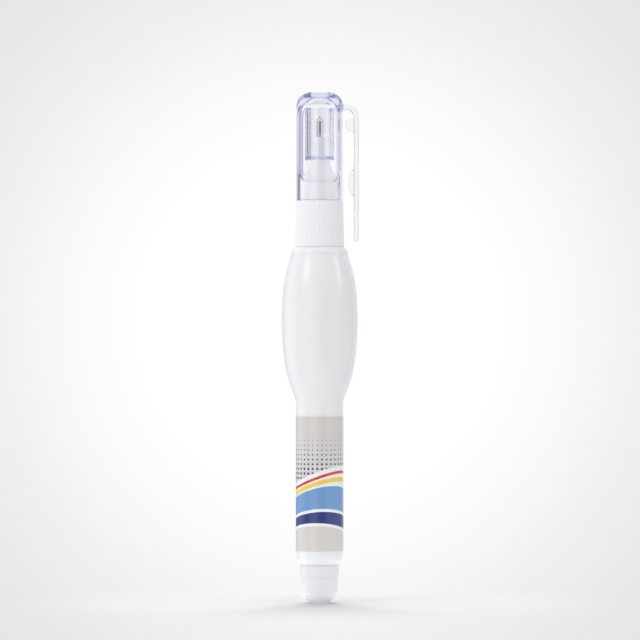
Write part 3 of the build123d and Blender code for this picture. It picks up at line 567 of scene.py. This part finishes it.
def cap():
    """The clear cap. Its outside is a profile turned round the axis: a side that leans in, a round corner and a flat
    end. In front and behind it is sunk, along its own normal, inside a long round-ended panel: by the panel's depth
    where the distance in front view from the panel's centre line is less than its half width, eased over a narrow
    border. Rows crowd where they cross the panel's round ends. A flat pad carries the clip. Inside are the bore, its
    taper, a round ceiling and a low boss over the sleeve."""
    angle = np.linspace(0, 2 * np.pi, 576, endpoint=False)[:, None]
    foot_r, foot_z, corner, corner_r, corner_z = 6.48, 110.5, 3.75, 2.65, 136.25
    depth, half_width, low_z, high_z, border = 0.2, 5.78, 119.5, 132.6, 0.3
    outline = np.concatenate([[(foot_r, foot_z)], arc((corner_r, corner_z), corner, 0, 90, 60), [(0, CAP_TOP_Z)]])
    length = np.concatenate([[0], np.cumsum(np.linalg.norm(np.diff(outline, axis=0), axis=1))])

    def at(along):
        """Radius and height of the outline at a length along it."""
        return np.interp(along, length, outline[:, 0]), np.interp(along, length, outline[:, 1])

    def end_height(radius):
        """How far the panel's round end reaches past its centre: the root of the half width squared less x squared."""
        return np.sqrt(np.maximum(half_width**2 - (radius * np.cos(angle)) ** 2, 0))

    def rows(start, end, count):
        """Even steps along the outline from one length to another, the last left out."""
        return start + (end - start) * np.linspace(0, 1, count, endpoint=False)[None]

    # Lengths along the outline where the panel's ends cross it; the upper one is stepped to, because the outline bends
    lower = low_z - end_height(6.45) - foot_z
    upper = high_z + end_height(6.4) - foot_z
    for _ in range(5):
        radius, height = at(upper)
        upper = upper + (high_z + end_height(radius) - height)
    low_band, high_band = 0.3, 0.35
    middle, crown, pole = 15.5 + 0 * angle, np.maximum(26.9, upper + 0.9), length[-1] + 0 * angle
    along = np.concatenate([
        rows(0 * angle, lower - low_band, 8),
        rows(lower - low_band, lower + low_band, 14),
        rows(lower + low_band, middle, 8),
        rows(middle, upper - high_band, 8),
        rows(upper - high_band, upper + high_band, 14),
        rows(upper + high_band, crown, 18),
        rows(crown, pole, 12),
        pole,
    ], axis=1)
    radius, height = at(along)
    away = np.hypot(radius * np.cos(angle), height - np.clip(height, low_z, high_z))
    sunk = depth * eased((half_width + border / 2 - away) / border)
    tilt = np.arctan2(np.maximum(height - corner_z, 0), radius - corner_r)
    radius, height = radius - sunk * np.cos(tilt), height - sunk * np.sin(tilt)

    # The pad: radii there are those of a flat face across +X
    pad_x, pad_half_width, pad_half_height, pad_z = 6.5, 2.64, 1.08, 135.775
    flat = pad_x / np.maximum(np.cos(angle), 0.5)
    pad = eased((pad_half_width - np.abs(radius * np.sin(angle))) / 0.2)
    pad = pad * eased((pad_half_height - np.abs(height - pad_z)) / 0.25)
    radius = radius + pad * (np.cos(angle) > 0) * np.maximum(flat - radius, 0)

    boss_r, boss_z, bore_r = 2.88, 137.0, 5.3
    boss = rounded([(1.5, boss_z), (boss_r, boss_z), (boss_r, 137.8)], [0, 0.3, 0])
    ceiling = arc((2.8, 135.5), 2.4, 88, 0, 16)
    bore = rounded(
        [(5.2, 135.2), (bore_r, 117.0), (bore_r, 110.45), (5.5, RIM_Z), (foot_r, RIM_Z), (foot_r, 110.45)],
        [0, 0.1, 0.05, 0.05, 0.1, 0],
    )
    inside = np.concatenate([
        [(0.0, boss_z), (1.2, boss_z)],
        boss[PER_CORNER:-PER_CORNER],
        ceiling,
        bore[PER_CORNER - 1:-PER_CORNER],
    ])
    inner = [np.tile(inside[:, k], (len(angle), 1)) for k in (0, 1)]
    grid = carried_round(np.concatenate([inner[0], radius], axis=1), np.concatenate([inner[1], height], axis=1))
    return skin("cap_clear_shell", grid, round_columns=False)


def seal_sleeve():
    """The inner sleeve: a tube whose lower rim is flared inside."""
    inner, outer, top_z, rim_z = 2.9, 4.0, 135.5, 121.4
    profile = rounded(
        [(inner, top_z), (outer, top_z), (outer, rim_z), (3.9, rim_z), (inner, 122.4)],
        [0.1, 0.15, 0.06, 0.06, 0.15],
    )
    return skin("seal_sleeve_tube", turned(profile, 192))


def clip():
    """The pocket clip: a rounded strip carried along a path that leaves the cap, arches over and runs straight down.
    The foot swells to a squarish bead: its half thickness is the fourth root of 1 less the fourth power of the way
    from its middle. The inner face rises along its middle in a web under the arch and in a bump, each a circle's
    height above the face, less the fall of a round rim across it."""
    half, wide, corner = 0.625, 2.5, 0.28
    root_x, arch_x, bend, strip_x, arch_z, foot_z, bead = 6.53, 7.3, 2.725, 10.025, 133.05, 99.1, 0.7
    bead_z = foot_z + bead

    # The path in front view, and how far the strip leans there
    swing = np.radians(np.linspace(90, 0, 32))
    bead_steps = bead_z + bead * np.cos(np.linspace(0, np.pi, 22))
    strip_z = np.concatenate([np.linspace(arch_z - 0.1, 101.4, 260), bead_steps])
    root_steps = 6
    path = np.concatenate([
        np.stack([np.linspace(root_x, 7.2, root_steps), np.full(root_steps, arch_z + bend)], axis=1),
        np.stack([arch_x + bend * np.cos(swing), arch_z + bend * np.sin(swing)], axis=1),
        np.stack([np.full(len(strip_z), strip_x), strip_z], axis=1),
    ])
    lean = np.concatenate([np.full(root_steps, np.pi / 2), swing, np.zeros(len(strip_z))])
    drop = path[:, 1]
    bead_half = bead * np.maximum(1 - np.abs((drop - foot_z - bead) / bead) ** 4, 0) ** 0.25
    thick = np.where(drop > bead_z, np.maximum(half, bead_half), bead_half)

    # The section: a rounded oblong with a row of points for the rib on its inner face
    rib_half, rim = 0.5, 0.2
    quarter = np.radians(np.linspace(0, 90, 5))
    turns = np.concatenate([quarter, quarter + np.pi / 2, quarter + np.pi, quarter + 1.5 * np.pi])
    side = np.repeat([[1, 1], [-1, 1], [-1, -1], [1, -1]], 5, axis=0)
    loop = side * [half - corner, wide - corner] + corner * np.stack([np.cos(turns), np.sin(turns)], axis=1)
    rib = np.array([0.62, 0.52, 0.505, rib_half, 0.485, 0.44, 0.38, 0.3])
    rib = np.concatenate([rib, [0], -rib[::-1]])
    loop = np.concatenate([loop[:10], np.stack([np.full(len(rib), -half), rib], axis=1), loop[10:]])
    on_rib = (np.abs(loop[:, 1]) < 0.51) & (loop[:, 0] < 0)
    past = np.abs(loop[:, 1]) - rib_half
    fall = rim - np.sqrt(np.maximum(rim**2 - np.maximum(past + rim, 0) ** 2, 0)) + 12 * np.maximum(past, 0)

    # The bump and the web
    bump_z, bump_half, bump_rise, web_z, web_r = 115.2, 4.0, 1.55, 131.4, 2.4
    bump_arc = (bump_half**2 + bump_rise**2) / (2 * bump_rise)
    bump = np.sqrt(np.maximum(bump_arc**2 - (drop - bump_z) ** 2, 0)) - bump_arc + bump_rise
    web = np.sqrt(np.maximum(web_r**2 - (drop - web_z) ** 2, 0)) * np.clip((arch_z - drop) / 0.8, 0, 1)
    rise = np.where(lean == 0, np.maximum(np.maximum(bump, web), 0), 0)

    out = loop[:, 0] * (thick / half)[:, None] - on_rib * np.maximum(rise[:, None] - fall, 0)
    x = path[:, :1] + out * np.cos(lean)[:, None]
    z = path[:, 1:] + out * np.sin(lean)[:, None]
    return skin("clip_strip", np.stack([x, np.tile(loop[:, 1], (len(path), 1)), z], axis=-1), round_rows=False)


dress(barrel(), WHITE_BARREL, "barrel", "pen_body")
dress(tail_plug(), WHITE_PLUG, "tail_plug", "pen_body")
dress(label(), LABEL_PRINT, "label", "pen_body")
dress(grip_collar(), WHITE_COLLAR, "grip_collar", "pen_body")
dress(nozzle(), WHITE_NOZZLE, "nozzle", "pen_body")
dress(metal_tip(), TIP_METAL, "metal_tip", "pen_body")
dress(valve_needle(), WIRE_METAL, "valve_needle", "needle")
dress(cap(), CLEAR_CAP, "cap", "cap")
dress(seal_sleeve(), CLEAR_SLEEVE, "seal_sleeve", "cap")
flexing = dress(clip(), CLEAR_CLIP, "clip")
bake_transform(flexing)

hidden = {
    "neck_gasket": BLACK_RUBBER, "spring_retainer": NATURAL_VALVE, "needle_holder": NATURAL_VALVE,
    "valve_spring": WIRE_METAL, "mixing_ball": BALL_METAL,
}
for node, material in hidden.items():
    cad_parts[node].data.materials.clear()
    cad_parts[node].data.materials.append(material)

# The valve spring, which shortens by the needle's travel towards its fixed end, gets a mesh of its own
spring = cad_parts["valve_spring"]
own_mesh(spring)


# Stage, light and camera


def floor():
    """A pale round floor just under the pen: rings of points at growing radii. It fades out, so that the backdrop
    shows past it, and it is clear from below. Rays other than the eye's pass through it under the plug's flat, where
    a shadow would gather."""
    ring = np.concatenate([[0.0], np.geomspace(4.0, 95.0, 40)])
    flat = np.stack([ring, 0 * ring - 0.02], axis=1)
    piece = skin("floor", turned(flat, 96), round_columns=False)
    piece.data.flip_normals()
    tree, shader, material = finish("floor_pale", {"Roughness": 0.9, "Specular IOR Level": 0.1})
    eye = tree.add("ShaderNodeLightPath").outputs["Is Camera Ray"]

    # A soft oval of shade round the foot, its half widths in metres
    oval_x, oval_y = 0.026, 0.05
    spread = tree.length(tree.coordinates((1 / oval_x, 1 / oval_y, 1)))
    shade = tree.mix(tree.remap(spread, 0.1, 1.0, 0, 1), (0.63, 0.63, 0.63, 1), (0.69, 0.69, 0.69, 1))
    # Painted light: rays other than the eye's see a near-white floor, which throws extra light up onto the pen; the eye
    # sees the darker floor with its oval of shade
    tree.feed(shader, {"Base Color": tree.mix(eye, (0.97, 0.97, 0.97, 1), shade)})

    away = tree.length(tree.add("ShaderNodeTexCoord").outputs["Object"])
    under = tree.add("ShaderNodeNewGeometry").outputs["Backfacing"]
    beneath = tree.maths("MULTIPLY", tree.maths("SUBTRACT", 1.0, eye), tree.remap(away, 0.0022, 0.003, 1, 0))
    fade = tree.maths("MAXIMUM", tree.remap(away, 0.02, 0.09, 0.0, 1.0), tree.maths("MAXIMUM", under, beneath))
    gone = tree.add("ShaderNodeBsdfTransparent").outputs[0]
    output = material.node_tree.nodes["Material Output"]
    tree.feed(output, {"Surface": tree.either(fade, shader.outputs[0], gone)})
    piece.data.materials.append(material)
    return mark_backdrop(piece)


def studio():
    """The world. The eye sees a backdrop that is white ahead and greys away from it. Through clear plastic and in gloss
    there are screens behind the pen, a pale front, and a cool tone above and below. Everything else gets a soft even
    light, a little stronger from the left."""
    world = bpy.data.worlds.new("studio")
    bpy.context.scene.world = world
    world.use_nodes = True
    tree = Tree(world.node_tree)
    output = world.node_tree.nodes["World Output"]
    for spare in [n for n in world.node_tree.nodes if n != output]:
        world.node_tree.nodes.remove(spare)
    side, ahead, rise = tree.parts(tree.add("ShaderNodeTexCoord").outputs["Generated"])
    paths = tree.add("ShaderNodeLightPath").outputs
    through = tree.maths("MAXIMUM", paths["Is Glossy Ray"], paths["Is Transmission Ray"])
    mirrored = tree.maths("GREATER_THAN", paths["Glossy Depth"], 0.5)

    # The backdrop's levels, by five times the chord between a direction and straight ahead
    chord = tree.maths("SQRT", tree.maths("MAXIMUM", tree.maths("MULTIPLY_ADD", ahead, -2.0, 2.0), 0.0))
    levels = ((0.205, 1.0), (0.29, 0.947), (0.355, 0.887), (0.4525, 0.815), (0.515, 0.79), (0.7, 0.76))
    greys = [(place, (level, level, level)) for place, level in levels]
    backdrop = tree.ramp(tree.maths("MULTIPLY", chord, 5.0), greys)

    # The screens behind, from -1 on the left to 1 on the right, white straight ahead
    screens = (
        (-0.84, (0.9, 0.9, 0.95)), (-0.77, (0.5, 0.5, 0.57)), (-0.69, (0.2, 0.2, 0.27)), (-0.46, (0.3, 0.3, 0.4)),
        (-0.36, (0.55, 0.55, 0.66)), (-0.29, (0.97, 0.97, 1)), (0.3, (0.97, 0.97, 1)), (0.4, (0.84, 0.85, 0.95)),
        (0.6, (0.84, 0.86, 0.95)), (0.72, (0.93, 0.94, 1)), (0.8, (0.9, 0.91, 0.97)), (0.84, (0.25, 0.25, 0.32)),
        (0.9, (0.25, 0.25, 0.32)), (0.94, (0.93, 0.93, 0.97)),
    )
    row = [(0.5 + place / 2, tone) for place, tone in screens]
    flags = tree.ramp(tree.maths("MULTIPLY_ADD", side, 0.5, 0.5), row)
    sideways = tree.remap(tree.maths("ABSOLUTE", side), 0.12, 0.28, 0, 1)
    rear = tree.mix(sideways, (0.99, 0.99, 1.0, 1), flags)

    # The front, in which reflections alone show a dark place near the eye and a dark flag on the left
    toward = tree.maths("ADD", tree.maths("MULTIPLY", side, 0.21), tree.maths("MULTIPLY", ahead, -0.98))
    spot = tree.maths("MULTIPLY", tree.remap(toward, 0.92, 0.95, 0, 1), mirrored)
    front = tree.mix(spot, (0.97, 0.97, 0.98, 1), (0.02, 0.02, 0.03, 1))
    flag = tree.maths("MULTIPLY", tree.remap(side, -0.8, -0.72, 1, 0), tree.remap(side, -0.995, -0.965, 0, 1))
    front = tree.mix(tree.maths("MULTIPLY", flag, mirrored), front, (0.04, 0.04, 0.05, 1))

    screened = tree.mix(tree.remap(ahead, -0.15, 0.15, 0, 1), front, rear)
    steep = tree.remap(tree.maths("ABSOLUTE", rise), 0.35, 0.7, 0, 1)
    screened = tree.mix(steep, screened, (0.8, 0.845, 0.89, 1))
    surround = tree.mix(through, backdrop, screened)
    seen = tree.add("ShaderNodeBackground", {"Color": surround, "Strength": 1.0}).outputs[0]
    soft = tree.maths("MULTIPLY_ADD", side, -0.19, 0.82)
    light = tree.add("ShaderNodeBackground", {"Color": (1.0, 1.0, 1.0, 1), "Strength": soft}).outputs[0]
    direct = tree.maths("LESS_THAN", paths["Diffuse Depth"], 0.5)
    shown = tree.maths("MULTIPLY", tree.maths("MAXIMUM", paths["Is Camera Ray"], through), direct)
    tree.feed(output, {"Surface": tree.either(shown, light, seen)})


def softbox(name, place, aim, width, height, power, gloss=True):
    """An area lamp at a place in metres, turned to face a point, that shows in gloss or only lights."""
    lamp = bpy.data.lights.new(name, "AREA")
    lamp.shape, lamp.size, lamp.size_y, lamp.energy = "RECTANGLE", width, height, power
    box = bpy.data.objects.new(name, lamp)
    bpy.context.scene.collection.objects.link(box)
    box.location = place
    box.rotation_euler = (Vector(aim) - Vector(place)).to_track_quat("-Z", "Y").to_euler()
    box.visible_transmission, box.visible_glossy = False, gloss


def camera():
    """A long lens on the level of the image's middle, 1.2 m in front of the axis, that frames 175.5 mm."""
    distance, framed, middle_z = 1.2, 0.1755, 0.07754
    lens = bpy.data.cameras.new("camera")
    lens.lens = lens.sensor_width * distance / framed
    eye = bpy.data.objects.new("camera", lens)
    bpy.context.scene.collection.objects.link(eye)
    eye.location = (0.0001, -distance, middle_z)
    eye.rotation_euler = (np.pi / 2, 0, 0)
    bpy.context.scene.camera = eye


floor()
studio()
softbox("rear_softbox", (0, 0.45, 0.85), (0, 0, 0.06), 0.55, 0.25, 4.5, gloss=False)
softbox("left_softbox", (-0.7, -0.6, 0.55), (0, 0, 0.08), 0.35, 0.35, 1.5)
softbox("right_softbox", (0.86, -0.3, 0.5), (0, 0, 0.08), 0.14, 0.4, 1.0)
camera()
bpy.context.scene.view_settings.view_transform = "Standard"
